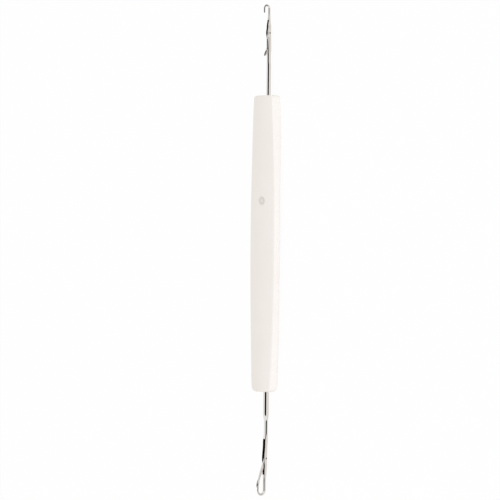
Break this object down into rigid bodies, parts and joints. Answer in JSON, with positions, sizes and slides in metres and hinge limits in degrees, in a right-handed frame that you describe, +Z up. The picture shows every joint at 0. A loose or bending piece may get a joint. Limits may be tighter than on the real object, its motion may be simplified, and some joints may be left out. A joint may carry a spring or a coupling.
{
  "type": "double-ended latch tool",
  "caption": "Flat moulded handle with a latch needle at each end, a small one and a large one, for picking up and reforming stitches on a knitting machine.",
  "frame": {"origin": "on the surface that the tool rests on, under the middle of its overall length and width", "axes": "+X along the tool from the large needle to the small one, +Y across the wide face of the handle, +Z up, the way both hooks open"},
  "size_m": [0.165, 0.0116, 0.0052],
  "materials": {
    "handle_plastic": "warm white injection-moulded plastic with a soft satin gloss",
    "needle_steel": "bright nickel-plated, polished steel",
    "latch_steel": "bright polished steel stamping",
    "rivet_steel": "dull steel pin, peened flush"
  },
  "bodies": {
    "root": {"handle": "handle_plastic", "small_needle": "needle_steel", "small_latch_rivet": "rivet_steel", "large_needle": "needle_steel", "large_latch_rivet": "rivet_steel"},
    "small_latch": {"small_latch": "latch_steel"},
    "large_latch": {"large_latch": "latch_steel"}
  },
  "joints": [
    {"name": "small_latch_swing", "type": "hinge", "parent": "root", "child": "small_latch", "pos_m": [0.07295, 0, 0.00167], "axis": [0, 1, 0], "range_deg": [0, 149]},
    {"name": "large_latch_swing", "type": "hinge", "parent": "root", "child": "large_latch", "pos_m": [-0.07005, 0, 0.00138], "axis": [0, 1, 0], "range_deg": [0, 148]}
  ]
}
